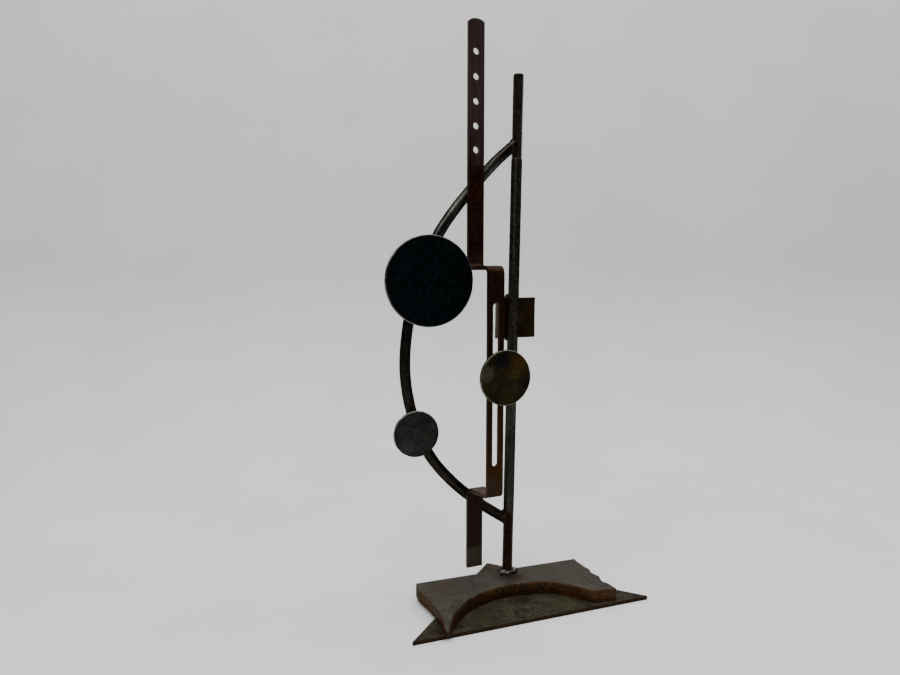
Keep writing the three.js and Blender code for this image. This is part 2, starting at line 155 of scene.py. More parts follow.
def steel(name, scale, mid, rust, orange, amount=0.5, rough=(0.45, 0.75), metal=0.75, zones=(), patches=(), scratch=0.0, pits=0.5, big=55, fine=330, dark=0.42, spec=0.12, tint=(1.0, 0.8, 0.62), bands=(), flat=False, speckle=0.0, even=0.0):
    """Oxidised steel: scale colour, lighter mill scale, brown rust in patches, orange specks, scratches and pits.
    zones = (z0, z1, more) adds rust between heights; patches = (point, r0, r1, colour, strength);
    bands = (z0, z1, soft, colour, strength) colours a height range; flat lays the scratches in the horizontal plane."""
    N = Nodes(name)
    scale, mid, rust, orange = ([x * dark for x in c] for c in (scale, mid, rust, orange))
    patches = [(p, r0, r1, [x * dark for x in pc], s) for p, r0, r1, pc, s in patches]
    bands = [(z0, z1, w, [x * dark for x in pc], s) for z0, z1, w, pc, s in bands]
    N.bsdf.inputs["Specular IOR Level"].default_value = spec
    N.bsdf.inputs["Specular Tint"].default_value = (*tint, 1)
    a = N.noise(big, 8, 0.62, 0.4); b = N.noise(fine, 8, 0.68, 0.2); c = N.noise(1500, 4, 0.7); v = N.voronoi(900)
    col = N.mix(N.rng(a, 0.34, 0.66, 0.5 * even, 1.0 - 0.5 * even), scale, mid)
    col = N.mix(N.math("MULTIPLY", N.rng(b, 0.42, 0.66), 0.5), col, [min(1, x * 1.7 + 0.01) for x in mid])
    m = N.math("ADD", N.math("MULTIPLY", a, 0.45), N.math("MULTIPLY", b, 0.55))
    if zones:
        z = N.z(); tot = None
        for z0, z1, more in zones:
            w = 0.012
            g = N.math("MULTIPLY", N.rng(z, z0 * MM - w, z0 * MM + w), N.rng(z, z1 * MM + w, z1 * MM - w))
            g = N.math("MULTIPLY", g, more); tot = g if tot is None else N.math("ADD", tot, g)
        m = N.math("ADD", m, tot)
    edge = 0.62 - 0.26 * amount
    mask = N.rng(m, edge, edge + 0.13)
    rc = N.mix(N.rng(c, 0.35, 0.68), rust, [x * 0.55 for x in rust])
    rc = N.mix(N.math("MULTIPLY", N.rng(N.noise(700, 6, 0.7), 0.5, 0.68), 0.85), rc, orange)
    col = N.mix(mask, col, rc)
    for z0, z1, w, pc, s in bands:
        zz = N.math("ADD", N.z(), N.math("MULTIPLY", N.math("SUBTRACT", b, 0.5), 2.2 * w * MM))
        g = N.math("MULTIPLY", N.rng(zz, (z0 - w) * MM, (z0 + w) * MM), N.rng(zz, (z1 + w) * MM, (z1 - w) * MM))
        streak = N.rng(N.noise(120, 6, 0.65, 0.2, N.stretch((1.0, 1.0, 0.12))), 0.3, 0.7)
        pc2 = N.mix(streak, [x * 0.55 for x in pc], [x * 1.45 for x in pc])
        col = N.mix(N.math("MULTIPLY", g, s), col, pc2)
    for p, r0, r1, pc, s in patches:
        col = N.mix(N.math("MULTIPLY", N.near(p, r0, r1, b), s), col, pc)
    if speckle:
        f1 = N.noise(620, 3, 0.7, 0.3); f2 = N.noise(1250, 3, 0.65)
        col = N.mix(N.math("MULTIPLY", N.rng(f1, 0.54, 0.68), speckle), col, N.mix(1.0, col, (0.30, 0.28, 0.30), "MULTIPLY"))
        lift = N.mix(1.0, col, (0.030, 0.016, 0.004), "ADD")
        col = N.mix(N.math("MULTIPLY", N.rng(f2, 0.53, 0.66), speckle * 0.8), col, lift)
    met = N.math("MULTIPLY", N.math("SUBTRACT", 1.0, mask), metal)
    r = N.rng(m, 0.35, 0.65, rough[0], rough[1], False)
    if scratch:
        sc = N.rng(N.noise(46, 4, 0.6, 0.2, N.stretch((1.0, 17.0, 1.0) if flat else (1.0, 1.0, 26.0), 0.30 if flat else 0.0)), 0.57, 0.74)
        sc2 = N.rng(N.noise(40, 4, 0.6, 0.3, N.stretch((15.0, 1.0, 1.0) if flat else (22.0, 3.0, 1.6), -0.5 if flat else 0.0)), 0.60, 0.76)
        s = N.math("MULTIPLY", N.math("ADD", sc, sc2, True), scratch)
        col = N.mix(s, col, [min(1.0, x * 4.5 + 0.02) for x in mid])
        r = N.math("SUBTRACT", r, N.math("MULTIPLY", s, 0.12), True)
    N.bump([(b, 0.35 * pits + 0.1, 0.35), (c, 0.5 * pits, 0.12), (v, 0.35 * pits, 0.1), (a, 0.2, 0.5)])
    return N.out(col, r, met)


M = {}
M["bar"] = steel("rusted_bar", (0.0062, 0.0014, 0.0008), (0.0125, 0.0029, 0.0014), (0.021, 0.0056, 0.0022), (0.052, 0.017, 0.0045), 0.32, (0.34, 0.58), 0.25,
                 # band 287-300 mm, lighter over the upper bend, is a painted highlight; band 95-105 mm, darker over the
                 # lower ledge top, is painted shade
                 bands=((374, 500, 10, (0.043, 0.0265, 0.0280), 0.8), (287, 300, 4, (0.034, 0.018, 0.013), 0.5), (104, 212, 26, (0.0205, 0.0090, 0.0018), 0.8), (44, 92, 6, (0.0175, 0.0118, 0.0102), 0.75), (95, 105, 2, (0.0085, 0.0056, 0.0040), 0.75), (20, 45, 2, (0.044, 0.039, 0.028), 0.85)),
                 patches=(((-31, -46, 116), 10, 46, (0.036, 0.0155, 0.0035), 0.5), ((-34, -45, 110), 4, 12, (0.036, 0.029, 0.023), 0.45)),
                 scratch=0.07, pits=0.6, dark=0.85, spec=0.08, tint=(1.0, 0.6, 0.4), speckle=0.25)
# lighter bevelled edges of the bar: a painted edge highlight
M["bar_edge_highlight"] = steel("bar_edge_highlight", (0.030, 0.019, 0.015), (0.062, 0.044, 0.036), (0.045, 0.017, 0.009), (0.09, 0.036, 0.013), 0.3, (0.3, 0.5), 0.6, pits=0.4, dark=0.8)
M["stud"] = steel("stud_steel", (0.0155, 0.0143, 0.0122), (0.046, 0.0425, 0.0345), (0.026, 0.0092, 0.0044), (0.070, 0.025, 0.008), 0.10, (0.2, 0.36), 0.92,
                  zones=((8, 70, 0.30), (212, 232, 0.06), (255, 272, 0.10), (382, 400, 0.05)), bands=((375, 455, 5, (0.060, 0.048, 0.036), 0.8), (78, 150, 20, (0.0125, 0.0155, 0.0135), 0.55), (5, 71, 2, (0.034, 0.0125, 0.0068), 0.75)),
                  scratch=0.10, pits=0.35, dark=0.85, spec=0.2, tint=(0.16, 0.15, 0.14), even=0.5)
# near-black thread roots: painted shade in the grooves; the band at 5-71 mm is rust on the foot thread
M["thread_root_shade"] = steel("thread_root_shade", (0.0010, 0.0007, 0.0004), (0.0024, 0.0015, 0.0008), (0.006, 0.0024, 0.0009), (0.03, 0.012, 0.0035), 0.20, (0.5, 0.7), 0.4, pits=0.5, dark=0.8, spec=0.05,
                         bands=((5, 71, 2, (0.0090, 0.0028, 0.0012), 0.8),))
M["rod"] = steel("rod_steel", (0.0072, 0.0060, 0.0046), (0.024, 0.0205, 0.0160), (0.021, 0.0088, 0.0044), (0.06, 0.024, 0.0085), 0.14, (0.17, 0.32), 0.92,
                 # the two light bands high on the bow (290-376 mm) are a painted highlight; the darker band at 186-246
                 # mm only darkens the middle of the bow
                 zones=((56, 96, 0.12), (164, 176, 0.18), (340, 362, 0.04)), bands=((336, 376, 10, (0.092, 0.090, 0.082), 0.7), (290, 332, 8, (0.034, 0.0335, 0.0315), 0.6), (186, 246, 14, (0.0085, 0.0075, 0.0052), 0.5)), scratch=0.08, pits=0.3, dark=0.85, spec=0.2, tint=(0.15, 0.14, 0.12), even=0.45)
M["base"] = steel("plate_steel", (0.0050, 0.0044, 0.0023), (0.035, 0.0318, 0.0212), (0.034, 0.0215, 0.0105), (0.11, 0.066, 0.025), 0.26, (0.46, 0.75), 0.2, scratch=0.22, pits=1.5, big=150, fine=600, dark=1.0, spec=0.05, flat=True, speckle=0.9,
                  # the dark patch at (0, -32), just in front of the arch's bite, is painted shade at the foot of the
                  # arched plate; the other two patches are mottling
                  patches=(((-40, -52, 3.2), 5, 26, (0.020, 0.0185, 0.0105), 0.6), ((30, -50, 3.2), 4, 20, (0.036, 0.032, 0.021), 0.6), ((0, -32, 3.2), 3, 16, (0.0085, 0.0072, 0.0042), 0.6)))
M["arch"] = steel("mill_scale", (0.0180, 0.0170, 0.0140), (0.050, 0.0478, 0.0408), (0.038, 0.027, 0.0175), (0.085, 0.052, 0.026), 0.22, (0.42, 0.68), 0.25, scratch=0.16, pits=1.2, big=90, fine=520, dark=0.84, spec=0.07, flat=True, speckle=0.6,
                  patches=(((-64, -12, 13.5), 6, 26, (0.040, 0.031, 0.021), 0.5), ((40, -18, 13.5), 8, 30, (0.045, 0.042, 0.034), 0.5), ((0, -6, 13.5), 6, 20, (0.024, 0.0215, 0.018), 0.6), ((3, -14, 13.5), 3, 11, (0.020, 0.0100, 0.0060), 0.7)))
M["arch_side"] = steel("torch_cut_contact_shade", (0.0175, 0.0085, 0.0040), (0.042, 0.0215, 0.0095), (0.072, 0.031, 0.0105), (0.16, 0.074, 0.024), 0.5, (0.5, 0.78), 0.3, pits=0.8, big=60, dark=0.95,
                       # the dark band at 2-7.5 mm along the foot of the cut side is a painted contact shadow where the
                       # arched plate sits on the base
                       bands=((2, 7.5, 2.2, (0.014, 0.0050, 0.0026), 0.6),), patches=(((-84, -58, 7), 4, 14, (0.050, 0.0150, 0.0060), 0.7), ((40, -45, 8), 4, 16, (0.046, 0.0165, 0.0060), 0.5)), speckle=0.4)
M["base_side"] = steel("plate_edge", (0.0100, 0.0058, 0.0034), (0.022, 0.0130, 0.0072), (0.032, 0.0135, 0.0060), (0.075, 0.032, 0.012), 0.35, (0.5, 0.78), 0.3, pits=0.8, big=90, dark=0.95, spec=0.06, speckle=0.4)
M["tab"] = steel("tab_rust", (0.0050, 0.0027, 0.0006), (0.0120, 0.0070, 0.0016), (0.024, 0.0135, 0.0034), (0.062, 0.034, 0.0085), 0.34, (0.42, 0.66), 0.3,
                 patches=(((-4, 5, 246), 6, 9, (0.022, 0.0060, 0.0018), 0.8), ((12, 5, 244), 1, 6, (0.040, 0.028, 0.010), 0.6), ((25, 5, 250), 2, 9, (0.018, 0.0064, 0.0020), 0.7), ((14, 5, 230), 2, 8, (0.0085, 0.0022, 0.0010), 0.7))
                 + tuple(((-11.0, 5, z), 3.0, 5.0, (0.115, 0.098, 0.072), 0.9) for z in (229, 233, 237, 241, 245, 249, 253, 257, 261)), pits=0.6, dark=0.8, spec=0.07, tint=(1.0, 0.75, 0.4), speckle=0.5)
M["black"] = steel("black_disc", (0.00015, 0.0011, 0.0018), (0.0003, 0.0017, 0.0026), (0.0008, 0.0019, 0.0024), (0.003, 0.003, 0.003), -0.2, (0.30, 0.42), 0.0,
                   patches=(((-101, -18, 287), 2, 6, (0.0045, 0.0085, 0.011), 0.55), ((-80, -18, 262), 1, 4, (0.0045, 0.0075, 0.0095), 0.5),
                            ((-108, -18, 272), 3, 9, (0.0018, 0.0040, 0.0036), 0.6)), scratch=0.01, pits=0.03, dark=0.8, spec=0.035, tint=(0.35, 0.85, 1.0))
# pale rim crest: partly bare worn metal, partly a painted highlight ring
M["black_rim"] = steel("black_disc_rim", (0.03, 0.033, 0.034), (0.17, 0.175, 0.17), (0.04, 0.03, 0.02), (0.09, 0.06, 0.04), 0.10, (0.2, 0.36), 0.95, pits=0.3, big=80, dark=0.95, spec=0.5)
M["grey"] = steel("grey_disc", (0.0082, 0.0085, 0.0074), (0.0170, 0.0176, 0.0152), (0.022, 0.0185, 0.0125), (0.05, 0.036, 0.021), 0.10, (0.34, 0.54), 0.55,
                  patches=(((-98, -13, 140), 1, 9, (0.05, 0.05, 0.046), 0.4), ((-84, -13, 160), 1, 7, (0.009, 0.0095, 0.008), 0.6)), scratch=0.16, pits=0.3, big=90, dark=0.85, tint=(1.0, 1.0, 0.9))
# pale rim crest: partly bare worn metal, partly a painted highlight ring
M["grey_rim"] = steel("grey_disc_rim", (0.05, 0.05, 0.047), (0.16, 0.158, 0.15), (0.05, 0.03, 0.02), (0.12, 0.07, 0.04), 0.15, (0.22, 0.42), 0.9, pits=0.3, big=120, dark=0.95, spec=0.5)
def on_disc(u, v):
    return (-27.3 + 0.9976 * u, -54.7 + 0.0698 * u, 201.4 + v)


M["mottle"] = steel("mottled_disc", (0.0038, 0.0026, 0.0009), (0.0128, 0.0094, 0.0030), (0.020, 0.0105, 0.0024), (0.070, 0.036, 0.0070), 0.40, (0.40, 0.66), 0.35,
                    patches=((on_disc(0, 0), 6, 14, (0.0165, 0.0110, 0.0045), 0.45), (on_disc(1, -15), 3, 11, (0.0200, 0.0160, 0.0044), 0.7), (on_disc(-17.5, 4), 4, 8.5, (0.046, 0.040, 0.029), 0.92), (on_disc(-4, 14), 4.5, 8.5, (0.0008, 0.0022, 0.0046), 0.97),
                             (on_disc(12.5, 11), 3, 10, (0.040, 0.0215, 0.0042), 0.85), (on_disc(8, 2.7), 2, 6.5, (0.034, 0.0300, 0.0062), 0.85),
                             (on_disc(18, -4.5), 3, 7, (0.0042, 0.0040, 0.0046), 0.9), (on_disc(-9.5, -6.5), 1, 4, (0.016, 0.016, 0.013), 0.8), (on_disc(7.5, -8.4), 1, 4.5, (0.019, 0.018, 0.015), 0.8),
                             (on_disc(-3, 3), 1, 5, (0.0060, 0.0050, 0.0034), 0.6), (on_disc(12, -15), 2, 5, (0.0085, 0.0078, 0.0062), 0.7)), pits=1.0, big=120, fine=520, dark=0.85, spec=0.08, tint=(1.0, 0.8, 0.5), speckle=0.85)
# pale rim crest: partly bare worn metal, partly a painted highlight ring
M["mottle_rim"] = steel("mottled_disc_rim", (0.035, 0.031, 0.021), (0.12, 0.108, 0.083), (0.07, 0.035, 0.016), (0.15, 0.075, 0.03), 0.25, (0.28, 0.5), 0.85, pits=0.4, big=120, dark=0.9)
M["weld"] = steel("weld_bead", (0.013, 0.0080, 0.0052), (0.036, 0.0245, 0.0170), (0.040, 0.0150, 0.0062), (0.11, 0.044, 0.014), 0.40, (0.28, 0.55), 0.7, pits=0.7, big=160, fine=520, dark=0.9)
M["weld_bright"] = steel("weld_bead_bare", (0.018, 0.0105, 0.0075), (0.140, 0.127, 0.114), (0.052, 0.0175, 0.0085), (0.12, 0.048, 0.018), 0.34, (0.18, 0.4), 0.9, pits=0.6, big=330, fine=700, dark=0.95, spec=0.5)
M["dark_rim"] = steel("disc_side", (0.0055, 0.0055, 0.0045), (0.0125, 0.0125, 0.0100), (0.014, 0.0080, 0.0040), (0.04, 0.02, 0.008), 0.2, (0.35, 0.6), 0.5, pits=0.5, big=120, dark=0.85, spec=0.05)
M["weld_dark"] = steel("weld_bead_dark", (0.0062, 0.0040, 0.0030), (0.0165, 0.0120, 0.0092), (0.019, 0.0072, 0.0036), (0.06, 0.024, 0.009), 0.35, (0.3, 0.55), 0.6, pits=0.7, big=200, fine=520, dark=0.85, spec=0.06)
M["magnet"] = steel("plated_magnet", (0.42, 0.42, 0.43), (0.52, 0.52, 0.53), (0.2, 0.18, 0.16), (0.25, 0.2, 0.15), -0.1, (0.2, 0.34), 0.95, pits=0.06, dark=0.8)
M["ferrite"] = steel("ferrite_magnet", (0.020, 0.020, 0.022), (0.032, 0.032, 0.034), (0.026, 0.024, 0.022), (0.05, 0.04, 0.035), -0.1, (0.5, 0.65), 0.2, pits=0.3)


# ------------------------------------------------------------------ mesh helpers
def obj_from(name, me, mats, body, nodes, angle=35):
    o = bpy.data.objects.new(name, me)
    bpy.context.scene.collection.objects.link(o)
    for m in mats:
        me.materials.append(m)
    for p in me.polygons:
        p.use_smooth = True
    me.set_sharp_from_angle(angle=math.radians(angle))
    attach(o, body)
    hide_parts(*nodes)
    return o


def mesh_from(name, verts, faces, mat_index=None):
    me = bpy.data.meshes.new(name)
    me.from_pydata([(v[0] * MM, v[1] * MM, v[2] * MM) for v in verts], [], faces)
    if mat_index:
        for p, i in zip(me.polygons, mat_index):
            p.material_index = i
    me.update()
    bm = bmesh.new(); bm.from_mesh(me)
    bmesh.ops.recalc_face_normals(bm, faces=bm.faces)
    bm.to_mesh(me); bm.free()
    return me


def evaluated(me, mods):
    o = bpy.data.objects.new("_tmp", me); bpy.context.scene.collection.objects.link(o)
    for kind, kw in mods:
        m = o.modifiers.new(kind, kind)
        for k, v in kw.items():
            setattr(m, k, v)
    out = bpy.data.meshes.new_from_object(o.evaluated_get(bpy.context.evaluated_depsgraph_get()))
    bpy.data.objects.remove(o)
    return out


def catmull(P, n):
    """centripetal Catmull-Rom through the points P (tuples), n samples per span, end points kept"""
    P = [Vector(p) for p in P]
    Q = [P[0] * 2 - P[1]] + P + [P[-1] * 2 - P[-2]]
    out = []
    for i in range(1, len(Q) - 2):
        p0, p1, p2, p3 = Q[i - 1], Q[i], Q[i + 1], Q[i + 2]
        t = [0.0]
        for a, b in ((p0, p1), (p1, p2), (p2, p3)):
            t.append(t[-1] + max(1e-6, (b - a).length) ** 0.5)
        for k in range(n):
            u = t[1] + (t[2] - t[1]) * k / n
            L = lambda a, b, ta, tb: a * ((tb - u) / (tb - ta)) + b * ((u - ta) / (tb - ta))
            A1, A2, A3 = L(p0, p1, t[0], t[1]), L(p1, p2, t[1], t[2]), L(p2, p3, t[2], t[3])
            B1, B2 = L(A1, A2, t[0], t[2]), L(A2, A3, t[1], t[3])
            out.append(L(B1, B2, t[1], t[2]))
    out.append(P[-1])
    return out


def resample(P, step):
    """closed polyline P (2-D Vectors) at an even spacing"""
    n = len(P); d = [0.0]
    for i in range(n):
        d.append(d[-1] + (P[(i + 1) % n] - P[i]).length)
    k = max(8, int(d[-1] / step)); out = []; j = 0
    for i in range(k):
        s = d[-1] * i / k
        while d[j + 1] < s:
            j += 1
        f = (s - d[j]) / max(1e-9, d[j + 1] - d[j])
        out.append(P[j].lerp(P[(j + 1) % n], f))
    return out, d[-1] / k


def slab(name, outline, step, z0, z1, levels, offset, mats, body, nodes, sag=None):
    """plate with a worked edge: offset(s, x, y, f) gives how far the side stands out at height fraction f"""
    P, ds = resample(outline, step); n = len(P)
    area = sum(P[i].x * P[(i + 1) % n].y - P[(i + 1) % n].x * P[i].y for i in range(n))
    sg = 1 if area > 0 else -1
    N = []
    for i in range(n):
        t = (P[(i + 2) % n] - P[i - 2]).normalized(); N.append(Vector((t.y, -t.x)) * sg)
    # how far each point may move inwards before it meets the other side of a narrow tip
    A = np.array([(p.x, p.y) for p in P]); dist = np.sqrt(((A[:, None] - A[None]) ** 2).sum(2))
    k = np.abs(np.arange(n)[:, None] - np.arange(n)[None]); arc = np.minimum(k, n - k) * ds
    lim = np.where((arc > 1.2) & (dist < 0.75 * arc), dist, 9.0).min(1) * 0.32
    lim = np.array([min(lim[(i + d) % n] for d in range(-2, 3)) for i in range(n)])
    V = []; F = []; MI = []
    for f in levels:
        for i in range(n):
            o = max(offset(i * ds, P[i].x, P[i].y, f), -0.7 * lim[i]); q = P[i] + N[i] * o
            V.append((q.x, q.y, z0 + (z1 - z0) * f))
    # inner rings keep the flat faces flat right up to the worked edge
    for f, z in ((0.0, z0), (1.0, z1)):
        for i in range(n):
            q = P[i] - N[i] * min(1.6, float(lim[i]))
            V.append((q.x, q.y, z))
    L = len(levels)
    for k in range(L - 1):
        for i in range(n):
            j = (i + 1) % n
            F.append((k * n + i, k * n + j, (k + 1) * n + j, (k + 1) * n + i)); MI.append(1)
    for i in range(n):
        j = (i + 1) % n
        F.append((i, L * n + i, L * n + j, j)); MI.append(0)
        F.append(((L - 1) * n + i, (L - 1) * n + j, (L + 1) * n + j, (L + 1) * n + i)); MI.append(0)
    F.append(tuple(L * n + i for i in range(n))); MI.append(0)
    F.append(tuple((L + 1) * n + i for i in range(n))); MI.append(0)
    me = mesh_from(name, V, F, MI)
    if sag:
        bm = bmesh.new(); bm.from_mesh(me)
        for y in (-57.5, -59.5, -62.0, -64.5):
            bmesh.ops.bisect_plane(bm, geom=bm.verts[:] + bm.edges[:] + bm.faces[:], plane_co=(0, y * MM, 0), plane_no=(0, 1, 0), dist=1e-7)
        bmesh.ops.triangulate(bm, faces=[f for f in bm.faces if len(f.verts) > 4])
        for v in bm.verts:
            v.co.z -= sag(v.co.x / MM, v.co.y / MM) * MM * (v.co.z / MM - z0) / (z1 - z0)
        bm.to_mesh(me); bm.free()
    return obj_from(name, me, mats, body, nodes, 40)


# ------------------------------------------------------------------ the two plates
def base_outline():
    C = [Vector((-109.4, -64.7)), Vector((106.1, -64.7)), Vector((-1.65, 43.05))]; out = []
    for i in range(3):
        p, a, b = C[i], (C[i - 1] - C[i]).normalized(), (C[(i + 1) % 3] - C[i]).normalized()
        p0, p1 = p + a * 2.2, p + b * 2.2
        for k in range(6):
            t = k / 5; out.append(p0 * (1 - t) ** 2 + p * 2 * t * (1 - t) + p1 * t * t)
    return out


def base_edge(s, x, y, f):
    o = 0.10 * nz(x, y, 0, 0.06) + 0.06 * nz(x, y, f * 3, 0.9, 2) - 0.12
    o -= 0.45 * max(0.0, (f - 0.86) / 0.14) ** 2 + 0.25 * max(0.0, (0.1 - f) / 0.1) ** 2   # rolled and burred arrises
    return o - 0.10 * (1 - f)


slab("base_plate_look", base_outline(), 0.9, 0.0, BASE_T, (0, 0.05, 0.14, 0.4, 0.7, 0.86, 0.93, 0.98, 1.0), base_edge, (M["base"], M["base_side"]), "frame", ["base_plate"])

RUNS = [  # corner to corner, torch-cut
    [(71.2, 2.6), (20.0, 3.9), (-30.0, 5.0), (-84.9, 5.8)],
    [(-84.9, 5.8), (-87.2, -2.0), (-87.4, -8.0), (-86.0, -14.5), (-84.0, -25.0), (-82.6, -37.0), (-82.2, -47.0), (-82.3, -57.0), (-82.7, -64.5), (-81.6, -69.0)],
    [(-81.6, -69.0), (-79.4, -67.4), (-74.6, -61.6), (-68.8, -53.2), (-62.4, -47.0), (-55.2, -40.6), (-49.6, -36.8), (-41.0, -32.7), (-33.8, -30.0), (-27.0, -28.0), (-19.8, -26.4), (-12.0, -25.9),
     (-4.0, -26.0), (2.0, -26.6), (9.8, -27.6), (17.4, -29.0), (24.3, -31.2), (30.4, -34.6), (36.1, -39.6), (41.6, -44.9), (46.6, -50.2), (50.4, -55.0), (54.4, -59.4), (58.5, -60.6), (65.0, -61.0), (75.2, -61.8)],
    [(75.2, -61.8), (75.7, -57.1), (75.6, -53.0), (74.8, -49.1), (73.0, -46.5), (73.2, -42.0), (75.0, -36.1), (73.4, -31.0), (72.5, -26.4), (73.7, -21.5), (72.3, -13.4), (71.9, -6.7), (71.2, 2.6)],
]
arch_pts = []
for r in RUNS:
    arch_pts += catmull([(p[0], p[1]) for p in r], 10)[:-1]


def arch_edge(s, x, y, f):
    straight = y > 0.5                                  # the back edge was sheared, the rest torch-cut
    drag = s + 1.6 * (1 - f) ** 2 * (1 if x > 0 else -1)
    stri = 0.26 * nz(drag * 1.05, 0.35 * f, 0, 1.0, 3) + 0.13 * nz(drag * 2.3, 0.6 * f, 0, 1.0, 5)
    wave = 0.40 * nz(s * 0.16, f * 0.7, 0, 1.0, 7)
    o = (0.10 * nz(s * 0.2, f, 0, 1, 9) if straight else stri + wave) - 0.35
    o -= (0.35 if straight else 0.85) * max(0.0, (f - 0.86) / 0.14) ** 2.2     # melted top arris
    if not straight:
        o += 0.45 * max(0.0, nz(s * 0.45, 1, 0, 1.0, 11)) * max(0.0, (0.12 - f) / 0.12)   # dross along the bottom
        if y < -24 and x > -80:
            o += 0.9 * (0.5 - f)                                                          # the torch leaned a little in the bite
        elif x < -70:
            o -= 0.9 * (1 - f)
        else:
            o -= 0.4 * (1 - f)
    return o


slab("arched_plate_look", arch_pts, 0.55, ARCH_Z, ARCH_TOP, (0, 0.03, 0.08, 0.16, 0.26, 0.38, 0.5, 0.62, 0.74, 0.84, 0.90, 0.95, 0.98, 1.0), arch_edge, (M["arch"], M["arch_side"]), "frame", ["arched_plate"],
     sag=lambda x, y: (0.51 * (-57.5 - y) + 0.5 * nz(x, y, 0, 0.3, 6)) if x < -69 and y < -57.5 else 0.0)


# ------------------------------------------------------------------ threaded stud
def make_stud():
    PITCH, DEPTH, SEG = 1.72, 0.98, 36
    z0, z1 = STUD_FOOT.z, STUD_TOP.z
    zs = []; z = z0
    while z < z1:
        zs.append(z)
        z += PITCH / 9 if (z < 71 or z > 378) else 1.4
    zs.append(z1)
    ax, bx = Vector((STUD_DIR.z, 0, -STUD_DIR.x)), Vector((0, 1, 0))
    V = []; F = []; RT = []; MI = []
    for z in zs:
        c = stud_at(z)
        for k in range(SEG):
            th = 2 * math.pi * k / SEG
            ph = ((z / PITCH) - th / (2 * math.pi)) % 1.0
            tri = min(1.0, max(0.0, (abs(ph - 0.5) * 2 - 0.10) / 0.70))       # 0 crest, 1 root
            lo_t = max(0.0, min(1.0, (69.5 - z) / 2.5)); hi_t = max(0.0, min(1.0, (z - 379.8) / 2.5))
            cake = 0.78 + 0.5 * nz(math.cos(th) * 3, math.sin(th) * 3, z * 0.35, 1, 4)
            d = DEPTH * tri * (hi_t + lo_t * max(0.25, min(1.0, cake)))
            r = STUD_R - d
            r += (0.10 * nz(math.cos(th) * 4, math.sin(th) * 4, z * 0.5, 1, 8) if z < 71 else 0.03 * nz(math.cos(th) * 2, math.sin(th) * 2, z * 0.12, 1, 8)) - 0.03
            r = min(r, STUD_R)
            top = z1 - z
            if top < 1.0:
                r = min(r, STUD_R - 0.9 * (1 - top))
            V.append(tuple(c + (ax * math.cos(th) + bx * math.sin(th)) * r)); RT.append(1 if d > 0.5 * DEPTH else 0)
    n = len(zs)
    for i in range(n - 1):
        for k in range(SEG):
            j = (k + 1) % SEG
            F.append((i * SEG + k, i * SEG + j, (i + 1) * SEG + j, (i + 1) * SEG + k))
            # faces deep in the thread take the near-black root material: painted shade in the grooves
            MI.append(1 if RT[i * SEG + k] + RT[i * SEG + j] + RT[(i + 1) * SEG + j] + RT[(i + 1) * SEG + k] > 2 else 0)
    F.append(tuple(range(SEG))); F.append(tuple((n - 1) * SEG + k for k in range(SEG))); MI += [0, 0]
    obj_from("mast_stud_look", mesh_from("stud", V, F, MI), (M["stud"], M["thread_root_shade"]), "frame", ["mast_stud"], 50)


make_stud()

# ------------------------------------------------------------------ bowed rod
BOW = [(3.6, 393.0), (-12.7, 379.0), (-32.5, 358.3), (-51.2, 336.2), (-63.6, 318.8), (-76.5, 293.5), (-86.4, 265.0), (-92.6, 237.0), (-95.0, 206.0), (-91.9, 177.6), (-83.4, 148.0), (-70.9, 124.6), (-54.6, 104.9),
       (-39.5, 90.8), (-24.6, 78.8), (-3.2, 64.1)]
bow_line = catmull(BOW, 26)


def make_bow():
    SEG = 28; V = []; F = []; n = len(bow_line)
    for i, p in enumerate(bow_line):
        t = (bow_line[min(i + 1, n - 1)] - bow_line[max(i - 1, 0)]).normalized()
        a = Vector((-t.y, 0, t.x)); b = Vector((0, 1, 0)); c = Vector((p.x, 0, p.y))
        for k in range(SEG):
            th = 2 * math.pi * k / SEG
            q = (a * math.cos(th) + b * math.sin(th))
            w = c + q * BOW_R
            r = BOW_R + 0.10 * nz(w.x, w.y, w.z, 0.09, 1) + 0.05 * nz(w.x, w.y, w.z, 0.5, 2) - 0.06
            w = c + q * r
            # the ends are coped to the stud
            s = stud_at(w.z); lim = s.x - math.sqrt(max(0.0, (STUD_R - 0.15) ** 2 - w.y ** 2))
            if w.x > lim:
                w.x = lim
            V.append(tuple(w))
    for i in range(n - 1):
        for k in range(SEG):
            j = (k + 1) % SEG
            F.append((i * SEG + k, i * SEG + j, (i + 1) * SEG + j, (i + 1) * SEG + k))
    F.append(tuple(range(SEG))); F.append(tuple((n - 1) * SEG + k for k in range(SEG)))
    obj_from("bow_rod_look", mesh_from("bow", V, F), (M["rod"],), "frame", ["bow_rod"], 50)


make_bow()


# ------------------------------------------------------------------ joggled flat bar
def bar_point(u, n, z):
    return BAR_O + BAR_U * u + BAR_N * n + Vector((0, 0, z))


